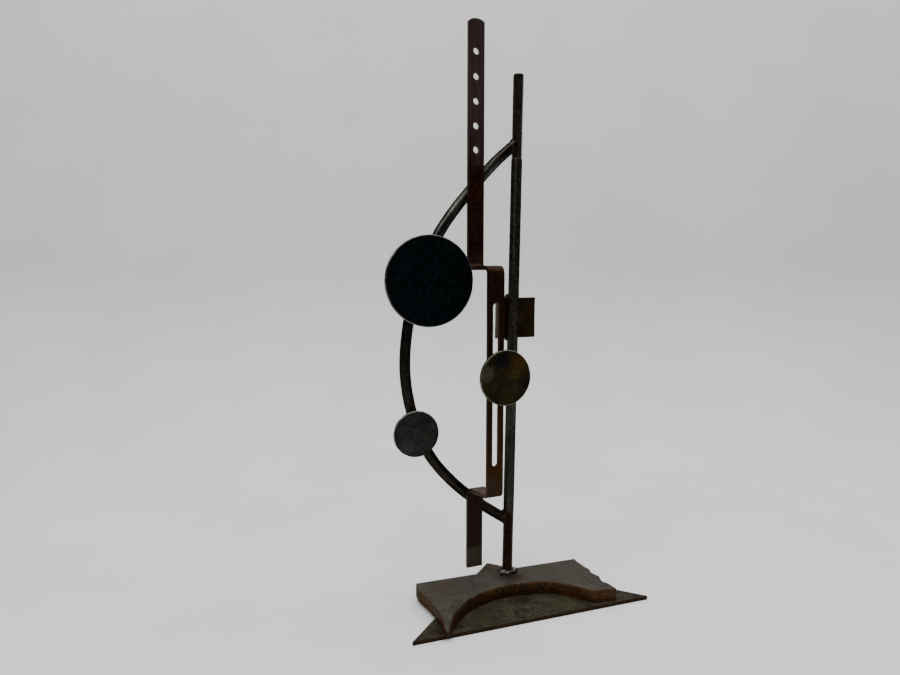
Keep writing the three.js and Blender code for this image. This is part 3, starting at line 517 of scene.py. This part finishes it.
def make_bar():
    h = BAR_T / 2; P = math.pi; path = []      # centre line (n, z) and its normal
    way = [Vector(p) for p in ((h, TOP_Z + 2), (h, HI[0]), (h + JOG, HI[1]), (h + JOG, LO[1]), (h, LO[0]), (h, END_Z))]
    def straight(p, q):
        k = max(1, int((q - p).length / 6))
        for i in range(k):
            path.append((*p.lerp(q, i / k), *(q - p).normalized()))
    start = way[0]
    for i in range(1, 5):
        d0, d1 = (way[i] - way[i - 1]).normalized(), (way[i + 1] - way[i]).normalized()
        turn = math.atan2(d0.x * d1.y - d0.y * d1.x, d0.dot(d1)); sg = 1 if turn > 0 else -1
        cut = BEND * math.tan(abs(turn) / 2)
        c = way[i] - d0 * cut + Vector((-d0.y, d0.x)) * sg * BEND
        straight(start, way[i] - d0 * cut)
        for k in range(11):
            t = turn * k / 10; d = Vector((d0.x * math.cos(t) - d0.y * math.sin(t), d0.x * math.sin(t) + d0.y * math.cos(t)))
            o = c - Vector((-d.y, d.x)) * sg * BEND
            if k < 10:
                path.append((o.x, o.y, d.x, d.y))
            else:
                start = o
    straight(start, way[5]); path.append((h, END_Z, 0, -1))
    W = 6; rows = []
    V = []; F = []
    n = len(path)
    for i, (a, b, dx, dy) in enumerate(path):
        nr = Vector((-dy, dx))
        ring = []
        for s, side in ((1, 1), (-1, -1)):
            for k in range(W + 1):
                u = -BAR_W / 2 + BAR_W * k / W
                u = u * side
                w = 0.05 * nz(u, a, b, 0.08, 6)
                ring.append((u * (1 - 0.004), a + nr.x * h * s, b + nr.y * h * s, w))
        for (u, nn, zz, w) in ring:
            V.append(tuple(bar_point(u, nn + 0 * w, zz)))
    R = 2 * (W + 1)
    for i in range(n - 1):
        for k in range(R):
            j = (k + 1) % R
            F.append((i * R + k, i * R + j, (i + 1) * R + j, (i + 1) * R + k))
    F.append(tuple(range(R))); F.append(tuple((n - 1) * R + k for k in range(R)))
    me = mesh_from("bar", V, F)
    cutters = []

    def cutter(outline, n0, n1):
        m = len(outline); Vc = [tuple(bar_point(u, n0, zz)) for u, zz in outline] + [tuple(bar_point(u, n1, zz)) for u, zz in outline]
        Fc = [(i, (i + 1) % m, m + (i + 1) % m, m + i) for i in range(m)] + [tuple(range(m)), tuple(range(m, 2 * m))]
        c = bpy.data.objects.new("_cut", mesh_from("_cut", Vc, Fc)); bpy.context.scene.collection.objects.link(c); cutters.append(c)

    for q, hz in enumerate(HOLES):
        cutter([((2.87 + 0.08 * nz(k * 0.3, q, 0, 1, 3)) * math.cos(2 * math.pi * k / 48), hz + (2.87 + 0.08 * nz(k * 0.3, q, 0, 1, 3)) * math.sin(2 * math.pi * k / 48)) for k in range(48)], -4, 8)
    r = 2.8; s0, s1 = 127.6 + r, 260.2 - r
    cutter([(r * math.cos(math.pi * k / 20), s1 + r * math.sin(math.pi * k / 20)) for k in range(21)] +
           [(-r * math.cos(math.pi * k / 20), s0 - r * math.sin(math.pi * k / 20)) for k in range(21)], JOG - 6, JOG + 9)
    # the arched top end is cut off from above
    top = []
    for k in range(25):
        u = -1.0 + 2.0 * k / 24
        top.append((u * (BAR_W / 2 + 0.6), TOP_Z - 0.05 - 3.0 * abs(u) ** 2.6))
    cutter(top + [(12, 500), (-12, 500)], -4, 8)
    me2 = evaluated(me, [("BOOLEAN", {"operation": "DIFFERENCE", "solver": "EXACT", "object": c}) for c in cutters])
    for c in cutters:
        bpy.data.objects.remove(c)
    # the bevel faces take material 1, the lighter bar edge material: a painted edge highlight
    me3 = evaluated(me2, [("BEVEL", {"width": 0.42 * MM, "segments": 3, "limit_method": "ANGLE", "angle_limit": math.radians(50), "material": 1, "use_clamp_overlap": True})])
    me3.materials.clear()
    obj_from("offset_bar_look", me3, (M["bar"], M["bar_edge_highlight"]), "frame", ["offset_bar"], 40)


make_bar()


# ------------------------------------------------------------------ back tab
def make_tab():
    x0, x1, zA, zB, y0, y1 = -10.5, 27.7, 226.3, 262.3, 5.06, 8.26
    out = [Vector((x0, zA)), Vector((x1, zA + 0.2)), Vector((x1 - 0.1, zB)), Vector((x0 + 0.3, zB - 0.3))]
    P, ds = resample(out, 1.2); V = []; n = len(P); F = []; MI = []
    c = Vector(((x0 + x1) / 2, (zA + zB) / 2))
    lv = ((0.0, 0.55), (0.06, 0.2), (0.18, 0.0), (0.5, 0.0), (0.82, 0.0), (0.94, 0.2), (1.0, 0.55))
    for f, ins in lv:
        for i in range(n):
            d = (P[i] - c).normalized(); q = P[i] - d * (ins + 0.12 + 0.14 * nz(P[i].x, P[i].y, f, 0.35, 2))
            V.append((q.x, y0 + (y1 - y0) * f, q.y))
    for k in range(len(lv) - 1):
        for i in range(n):
            j = (i + 1) % n; F.append((k * n + i, k * n + j, (k + 1) * n + j, (k + 1) * n + i)); MI.append(0)
    F.append(tuple(range(n))); F.append(tuple((len(lv) - 1) * n + i for i in range(n))); MI += [0, 0]
    obj_from("back_tab_look", mesh_from("tab", V, F, MI), (M["tab"],), "frame", ["back_tab"], 40)


make_tab()


# ------------------------------------------------------------------ discs and magnets
def turned(name, front, nrm, r, t, mats, body, nodes, dents, seed, seg=160, rim=0.55):
    """disc with a rolled, nicked rim. front = centre of the front face, nrm points out of it"""
    nrm = Vector(nrm).normalized(); e1 = Vector((-nrm.y, nrm.x, 0)).normalized(); e2 = nrm.cross(e1)
    prof = [(0.0, -t)]; mi = []
    rr = rim
    for f in (0.3, 0.6, 0.85, 0.95):
        prof.append((r * f, -t)); mi.append(0)
    for k in range(5):
        a = -math.pi / 2 + k / 4 * math.pi / 2; prof.append((r - rr + rr * math.cos(a), -t + rr + rr * math.sin(a))); mi.append(2 if k else 0)
    for k in range(7):
        # the front crest of the rim takes the pale rim material: a painted highlight ring over worn metal
        a = k / 6 * math.pi / 2; prof.append((r - rr + rr * math.cos(a), -rr + rr * math.sin(a))); mi.append(1 if 2 <= k <= 5 else 2)
    for f in (0.97, 0.93, 0.87, 0.8, 0.7, 0.58, 0.45, 0.3, 0.15):
        prof.append((r * f, 0.0)); mi.append(0)
    prof.append((0.0, 0.0)); mi.append(0)
    V = [tuple(Vector(front) + nrm * prof[0][1])]; idx = [[0] * seg]; F = []; MI = []
    for (pr, pz) in prof[1:-1]:
        ring = []
        for k in range(seg):
            th = 2 * math.pi * k / seg
            q = e1 * math.cos(th) + e2 * math.sin(th)
            w = 0.0; dr = 0.0
            if pr > r - rr - 0.2:
                dr = -0.05 + 0.05 * nz(math.cos(th) * 9, math.sin(th) * 9, pz * 0.8, 1, seed) - dents * max(0.0, nz(math.cos(th) * 5, math.sin(th) * 5, pz * 0.4, 1, seed + 4) - 0.28)
            elif pz == 0.0:
                w = min(0.0, 0.05 * nz(math.cos(th) * pr, math.sin(th) * pr, 0, 0.16, seed + 1) - 0.03)
            ring.append(len(V)); V.append(tuple(Vector(front) + q * (pr + dr) + nrm * (pz + w)))
        idx.append(ring)
    V.append(tuple(Vector(front))); idx.append([len(V) - 1] * seg)
    for a in range(len(idx) - 1):
        for k in range(seg):
            j = (k + 1) % seg
            f = [idx[a][k], idx[a][j], idx[a + 1][j], idx[a + 1][k]]
            f = [v for i, v in enumerate(f) if v not in f[:i]]
            F.append(tuple(f)); MI.append(min(mi[min(a, len(mi) - 1)], len(mats) - 1))
    return obj_from(name, mesh_from(name, V, F, MI), mats, body, nodes, 45)


BF = -(BOW_R + GAP)
turned("large_disc_look", (-78.3, BF - 9.4 - GAP - 3.2, 277.4), (0, -1, 0), 37.4, 3.2, (M["black"], M["black_rim"], M["dark_rim"]), "large_disc_body", ["large_disc"], 0.8, 1, rim=0.9)
turned("small_disc_look", (-88.9, BF - 5.0 - GAP - 3.2, 151.4), (0, -1, 0), 19.5, 3.2, (M["grey"], M["grey_rim"], M["dark_rim"]), "small_disc_body", ["small_disc"], 1.0, 12, 128, 1.2)
mb = BAR_O + BAR_U * 4.6 + Vector((0, 0, 201.4))
turned("medium_disc_look", tuple(mb + BAR_N * (BAR_T + JOG + GAP + 5.0 + GAP + 3.2)), tuple(BAR_N), 22.3, 3.2, (M["mottle"], M["mottle_rim"], M["dark_rim"]), "medium_disc_body", ["medium_disc"], 1.0, 23, 140, 0.9)
turned("large_magnet_look", (-78.3, BF - 9.4, 277.4), (0, -1, 0), 12.5, 9.4, (M["ferrite"],), "large_magnet_carrier", ["large_magnet"], 0.3, 31, 72, 0.6)
turned("small_magnet_look", (-88.9, BF - 5.0, 151.4), (0, -1, 0), 6.0, 5.0, (M["magnet"],), "small_magnet_carrier", ["small_magnet"], 0.0, 33, 64, 0.3)
turned("medium_magnet_look", tuple(mb + BAR_N * (BAR_T + JOG + GAP + 5.0)), tuple(BAR_N), 6.0, 5.0, (M["magnet"],), "medium_magnet_carrier", ["medium_magnet"], 0.0, 35, 64, 0.3)


# ------------------------------------------------------------------ weld beads: runs of overlapping puddles
def puddles(name, items, voxel=0.32, rough=0.16, seed=0.0, mat="weld"):
    bm = bmesh.new()
    for c, r, s in items:
        m = Matrix.Translation(Vector(c) * MM) @ Matrix.Diagonal((*[v * r * MM for v in s], 1))
        bmesh.ops.create_icosphere(bm, subdivisions=3, radius=1.0, matrix=m)
    me = bpy.data.meshes.new(name); bm.to_mesh(me); bm.free()
    me = evaluated(me, [("REMESH", {"mode": "VOXEL", "voxel_size": voxel * MM}), ("SMOOTH", {"factor": 0.5, "iterations": 2})])
    nn = [v.normal.copy() for v in me.vertices]
    for v, k in zip(me.vertices, nn):
        p = v.co / MM
        v.co += k * MM * (rough * nz(p.x, p.y, p.z, 0.9, seed) + rough * 0.6 * nz(p.x, p.y, p.z, 2.2, seed + 3))
    me.update()
    return obj_from(name + "_look", me, (M[mat],), "frame", [name], 60)


ring = []
for k in range(15):          # foot: a lumpy fillet round the stud
    th = 2 * math.pi * k / 15
    R = 5.6 + 0.7 * nz(k, 1, 0, 0.7, 2)
    ring.append(((R * math.cos(th), R * math.sin(th), 14.2 + 0.9 * max(0, nz(k, 3, 0, 0.9, 5))), 2.5 + 0.5 * nz(k, 2, 0, 0.9, 3), (1.0, 1.0, 0.95)))
ring += [((-5.6, -4.4, 15.0), 3.0, (1.1, 1.0, 1.0)), ((5.2, -3.6, 15.4), 2.9, (1.2, 1.0, 0.95)), ((-2.0, -6.2, 15.0), 2.4, (1, 1, 0.9)), ((3.6, -5.8, 15.6), 2.2, (1, 1, 1.0)), ((-6.4, 0.4, 16.6), 2.1, (1, 1, 1.2))]
puddles("weld_stud_foot", ring, seed=1, mat="weld_bright", rough=0.28, voxel=0.26)


def collar(at, direction, r, n, size, squashy=(1, 1, 1), wob=0.5, seed=0):
    d = Vector(direction).normalized(); a = d.orthogonal().normalized(); b = d.cross(a); out = []
    for k in range(n):
        th = 2 * math.pi * k / n
        p = Vector(at) + (a * math.cos(th) + b * math.sin(th)) * (r + wob * nz(k, seed, 0, 0.8, seed)) + d * wob * nz(k, 5, seed, 0.7, seed)
        out.append((tuple(p), size * (1 + 0.18 * nz(k, 9, seed, 0.9, seed)), squashy))
    return out


s = stud_at(391.0)
puddles("weld_bow_top", collar((s.x - 5.9, 0, 389.6), (-0.72, 0, -0.69), 4.0, 13, 1.35, wob=0.3, seed=2) + [((s.x - 4.4, 0.2, 395.4), 2.1, (0.9, 1.2, 1.1)), ((s.x - 5.4, -3.4, 386.0), 1.8, (1, 1, 1))], seed=2, mat="weld_dark")
s = stud_at(65.6)
puddles("weld_bow_bottom", collar((s.x - 6.2, 0, 66.9), (-0.83, 0, 0.56), 4.0, 13, 1.5, wob=0.3, seed=5) + [((s.x - 5.0, -2.8, 62.2), 2.2, (1, 1, 1)), ((s.x - 4.6, 0.4, 60.9), 1.9, (1, 1.2, 1))], seed=5)
puddles("weld_bar_upper", [((-29.9, -5.4, 357.0), 1.7, (1, 1, 1)), ((-30.4, -5.3, 359.2), 1.7, (1, 1, 1)), ((-31.4, -5.3, 361.0), 1.6, (1, 1, 1)), ((-29.8, -5.4, 355.0), 1.5, (1, 1, 1)), ((-32.4, -5.1, 361.9), 1.4, (1, 1, 1)),
                           ((-31.6, -5.4, 357.6), 2.2, (1.2, 0.8, 1.3))], seed=7)
puddles("weld_bar_lower", [((-28.0, -5.8, 86.6), 1.9, (1, 1, 1)), ((-28.4, -5.9, 84.4), 1.9, (1, 1, 1)), ((-29.8, -5.8, 82.8), 1.7, (1, 1, 1)), ((-27.6, -5.7, 88.4), 1.6, (1, 1, 1)), ((-31.0, -5.5, 86.0), 2.2, (1.2, 0.8, 1.2))], seed=9)
puddles("weld_tab_upper", [((x, 4.4 + 0.25 * abs(x - 3.8) * 0.2, 262.3 + 0.5 * nz(x, 0, 0, 0.6, 2)), 2.0, (1.0, 0.9, 0.9)) for x in (-0.9, 0.8, 2.6, 4.4, 6.2, 7.8)] + [((-1.5, 2.2, 263.7), 1.9, (1, 1, 1.0)), ((-0.4, 3.4, 264.5), 1.6, (1, 1, 0.8))], seed=11)
puddles("weld_tab_lower", [((x, 4.5, 226.1 + 0.5 * nz(x, 0, 0, 0.6, 6)), 1.9, (1.0, 0.9, 0.9)) for x in (-0.6, 1.1, 2.9, 4.6, 6.2)], seed=13)
bead = lambda pts, r, z: [((x, y, z + 0.3 * nz(x, y, 0, 0.7, 4)), r * (1 + 0.1 * nz(x, y, 0, 0.9, 3)), (1, 1, 0.9)) for x, y in pts]
leg = lambda sx: [(-1.65 + sx * (62 + d) + sx * 1.3, -64.7 + 107.75 - (62 + d) + 1.3) for d in (-6.4, -4.8, -3.2, -1.6, 0, 1.6, 3.2, 4.8, 6.4)]
puddles("weld_base_left", bead(leg(-1), 1.25, 1.9), seed=15)
puddles("weld_base_right", bead(leg(1), 1.25, 1.9), seed=17)
puddles("weld_base_back", bead([(-9.0 + 2.5 * k, 4.9) for k in range(13)], 2.3, 3.7), seed=19)

# ------------------------------------------------------------------ stage, light and camera
prof = [(-2.5, 0.0), (0.25, 0.0)] + [(0.25 + 0.3 * math.sin(a * math.pi / 24), 0.3 - 0.3 * math.cos(a * math.pi / 24)) for a in range(1, 13)] + [(0.55, 3.0)]
VS = []; FS = []
for (y, z) in prof:
    # the sweep stands square to the camera
    for x in (-4.0, 4.0):
        c, s2 = math.cos(math.radians(-19.5)), math.sin(math.radians(-19.5))
        VS.append((x * c - y * s2, x * s2 + y * c, z))
for i in range(len(prof) - 1):
    FS.append((2 * i, 2 * i + 1, 2 * i + 3, 2 * i + 2))
me = bpy.data.meshes.new("floor"); me.from_pydata(VS, [], FS); me.update()
for p in me.polygons:
    p.use_smooth = True
floor = bpy.data.objects.new("studio_floor", me); bpy.context.scene.collection.objects.link(floor)
fm = Nodes("studio_paper")
me.materials.append(fm.out(fm.mix(fm.rng(fm.noise(6, 3), 0.3, 0.7), (0.66, 0.665, 0.67), (0.70, 0.705, 0.71)), 0.75, 0.0))
fm.bump([(fm.noise(300, 3), 0.05, 0.3)])

w = bpy.data.worlds.new("studio"); bpy.context.scene.world = w; w.use_nodes = True
w.node_tree.nodes["Background"].inputs[0].default_value = (0.92, 0.96, 1.0, 1); w.node_tree.nodes["Background"].inputs[1].default_value = 0.16


def area(name, pos, target, size, power, color=(1, 1, 1)):
    d = bpy.data.lights.new(name, "AREA"); d.shape = "RECTANGLE"; d.size, d.size_y = size; d.energy = power; d.color = color
    o = bpy.data.objects.new(name, d); bpy.context.scene.collection.objects.link(o)
    o.location = pos; o.rotation_euler = (Vector(target) - Vector(pos)).to_track_quat("-Z", "Y").to_euler()
    return o


area("ceiling", (0.15, 0.05, 2.2), (0.1, 0.1, 0.0), (2.4, 1.4), 62, (1.0, 0.99, 0.97))
area("left_lamp", (-1.3, -0.5, 1.7), (0, 0, 0.2), (0.5, 0.5), 13, (1.0, 0.98, 0.95))
area("right_lamp", (1.2, -0.3, 1.7), (0, 0, 0.2), (0.5, 0.5), 9, (0.96, 0.98, 1.0))

area("strip_lamp", (-1.05, -1.15, 0.75), (0, 0, 0.25), (0.07, 1.3), 2.2, (1.0, 0.99, 0.96))
area("front_lamp", (-0.9, -1.9, 2.1), (0, 0, 0.25), (0.35, 0.35), 7, (1.0, 0.99, 0.97))

cam_d = bpy.data.cameras.new("cam"); cam_d.sensor_fit = "HORIZONTAL"; cam_d.sensor_width = 36.0; cam_d.lens = 26.0
cam_d.dof.use_dof = False; cam_d.clip_start = 0.01
cam = bpy.data.objects.new("cam", cam_d); bpy.context.scene.collection.objects.link(cam)
cam.location = (-0.23846, -0.51780, 0.28499)
cam.rotation_euler = (math.radians(90 - 5.786), 0, math.radians(-19.5))
bpy.context.scene.camera = cam
